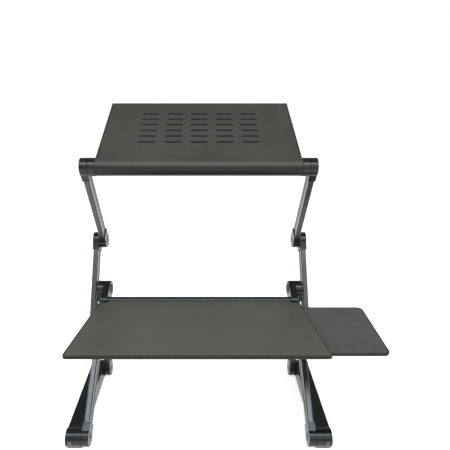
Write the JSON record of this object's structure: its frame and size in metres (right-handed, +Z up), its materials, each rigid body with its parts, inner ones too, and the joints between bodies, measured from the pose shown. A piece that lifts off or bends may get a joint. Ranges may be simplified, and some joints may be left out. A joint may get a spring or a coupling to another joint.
{
  "type": "standing desk converter",
  "caption": "Folding desk riser: jointed side legs carry a tilted laptop panel on top, a wide keyboard tray halfway up and a small mouse platform at its right.",
  "frame": {"origin": "on the desk surface, midway between the two feet, under the axis of the front floor pivots", "axes": "+X to the user's right along the pivots, +Y away from the user, +Z up"},
  "size_m": [0.6406, 0.5002, 0.6611],
  "materials": {
    "panel_coat": "satin powder coat, grey with a brown tint",
    "black_frame": "semi-gloss black paint on cast metal",
    "anodised_bar": "black anodised extrusion",
    "black_plastic": "fine moulded texture",
    "rubber": "matt",
    "steel": "zinc plated",
    "dark_steel": "black oxide"
  },
  "bodies": {
    "base": {"foot_beam_left": "black_frame", "foot_beam_right": "black_frame", "foot_rail_left": "black_frame", "foot_rail_right": "black_frame", "foot_pads": "rubber", "foot_lock_rings": "steel", "foot_spring_washers": "steel"},
    "lower_legs": {"lower_leg_bar_left": "anodised_bar", "lower_leg_bar_right": "anodised_bar", "lower_leg_hubs": "black_frame", "front_pivot_pins": "dark_steel", "knee_pivot_pins": "dark_steel"},
    "middle_legs": {"middle_leg_bar_left": "anodised_bar", "middle_leg_bar_right": "anodised_bar", "middle_leg_hubs": "black_frame", "middle_lock_rings": "steel", "middle_spring_washers": "steel"},
    "upper_legs": {"upper_leg_bar_left": "anodised_bar", "upper_leg_bar_right": "anodised_bar", "upper_leg_hubs": "black_frame", "elbow_pivot_pins": "dark_steel", "upper_lock_rings": "steel", "upper_spring_washers": "steel"},
    "panel": {"top_panel": "panel_coat", "panel_brackets": "black_frame", "panel_pivot_pins": "dark_steel"},
    "posts": {"tray_post_bar_left": "anodised_bar", "tray_post_bar_right": "anodised_bar", "tray_post_hubs": "black_frame", "rear_pivot_pins": "dark_steel", "tray_pivot_pins": "dark_steel"},
    "tray": {"keyboard_tray": "panel_coat", "tray_bracket_left": "black_frame", "tray_bracket_right": "black_frame", "tray_rod": "black_frame", "tray_lock_rings": "steel", "tray_spring_washers": "steel", "tray_screws": "steel", "mouse_bracket": "black_frame", "mouse_bolt": "steel", "mouse_knob": "black_plastic"},
    "mouse_table": {"mouse_platform": "panel_coat", "mouse_washer": "rubber"},
    "front_button_left": {"front_button_left": "black_plastic"},
    "front_button_right": {"front_button_right": "black_plastic"},
    "rear_button_left": {"rear_button_left": "black_plastic"},
    "rear_button_right": {"rear_button_right": "black_plastic"},
    "knee_button_left": {"knee_button_left": "black_plastic"},
    "knee_button_right": {"knee_button_right": "black_plastic"},
    "elbow_button_left": {"elbow_button_left": "black_plastic"},
    "elbow_button_right": {"elbow_button_right": "black_plastic"},
    "panel_button_left": {"panel_button_left": "black_plastic"},
    "panel_button_right": {"panel_button_right": "black_plastic"},
    "tray_button_left": {"tray_button_left": "black_plastic"},
    "tray_button_right": {"tray_button_right": "black_plastic"}
  },
  "joints": [
    {"name": "front_pivot", "type": "hinge", "parent": "base", "child": "lower_legs", "pos_m": [0, 0, 0.02], "axis": [1, 0, 0], "range_deg": [-5, 4]},
    {"name": "knee_pivot", "type": "hinge", "parent": "lower_legs", "child": "middle_legs", "pos_m": [0, 0.17564, 0.16223], "axis": [1, 0, 0], "range_deg": [-50, 10]},
    {"name": "elbow_pivot", "type": "hinge", "parent": "middle_legs", "child": "upper_legs", "pos_m": [0, 0.29319, 0.34463], "axis": [1, 0, 0], "range_deg": [-60, 60]},
    {"name": "panel_tilt", "type": "hinge", "parent": "upper_legs", "child": "panel", "pos_m": [0, 0.17563, 0.55157], "axis": [1, 0, 0], "range_deg": [-83, 67]},
    {"name": "rear_pivot", "type": "hinge", "parent": "base", "child": "posts", "pos_m": [0, 0.226, 0.02], "axis": [1, 0, 0], "range_deg": [-8, 5]},
    {"name": "tray_tilt", "type": "hinge", "parent": "posts", "child": "tray", "pos_m": [0, 0.226, 0.246], "axis": [1, 0, 0], "range_deg": [-45, 15]},
    {"name": "mouse_swivel", "type": "hinge", "parent": "tray", "child": "mouse_table", "pos_m": [0.185, 0.07, 0.235], "axis": [0, 0, 1], "range_deg": [-80, 0]},
    {"name": "front_release_left", "type": "slide", "parent": "base", "child": "front_button_left", "axis": [1, 0, 0], "range_m": [0, 0.003], "stiffness_N_per_m": 300, "springref_m": -0.001},
    {"name": "front_release_right", "type": "slide", "parent": "base", "child": "front_button_right", "axis": [-1, 0, 0], "range_m": [0, 0.003], "stiffness_N_per_m": 300, "springref_m": -0.001},
    {"name": "rear_release_left", "type": "slide", "parent": "base", "child": "rear_button_left", "axis": [1, 0, 0], "range_m": [0, 0.003], "stiffness_N_per_m": 300, "springref_m": -0.001},
    {"name": "rear_release_right", "type": "slide", "parent": "base", "child": "rear_button_right", "axis": [-1, 0, 0], "range_m": [0, 0.003], "stiffness_N_per_m": 300, "springref_m": -0.001},
    {"name": "knee_release_left", "type": "slide", "parent": "middle_legs", "child": "knee_button_left", "axis": [1, 0, 0], "range_m": [0, 0.003], "stiffness_N_per_m": 300, "springref_m": -0.001},
    {"name": "knee_release_right", "type": "slide", "parent": "middle_legs", "child": "knee_button_right", "axis": [-1, 0, 0], "range_m": [0, 0.003], "stiffness_N_per_m": 300, "springref_m": -0.001},
    {"name": "elbow_release_left", "type": "slide", "parent": "middle_legs", "child": "elbow_button_left", "axis": [1, 0, 0], "range_m": [0, 0.003], "stiffness_N_per_m": 300, "springref_m": -0.001},
    {"name": "elbow_release_right", "type": "slide", "parent": "middle_legs", "child": "elbow_button_right", "axis": [-1, 0, 0], "range_m": [0, 0.003], "stiffness_N_per_m": 300, "springref_m": -0.001},
    {"name": "panel_release_left", "type": "slide", "parent": "upper_legs", "child": "panel_button_left", "axis": [1, 0, 0], "range_m": [0, 0.003], "stiffness_N_per_m": 300, "springref_m": -0.001},
    {"name": "panel_release_right", "type": "slide", "parent": "upper_legs", "child": "panel_button_right", "axis": [-1, 0, 0], "range_m": [0, 0.003], "stiffness_N_per_m": 300, "springref_m": -0.001},
    {"name": "tray_release_left", "type": "slide", "parent": "tray", "child": "tray_button_left", "axis": [-1, 0, 0], "range_m": [0, 0.003], "stiffness_N_per_m": 300, "springref_m": -0.001},
    {"name": "tray_release_right", "type": "slide", "parent": "tray", "child": "tray_button_right", "axis": [1, 0, 0], "range_m": [0, 0.003], "stiffness_N_per_m": 300, "springref_m": -0.001}
  ]
}
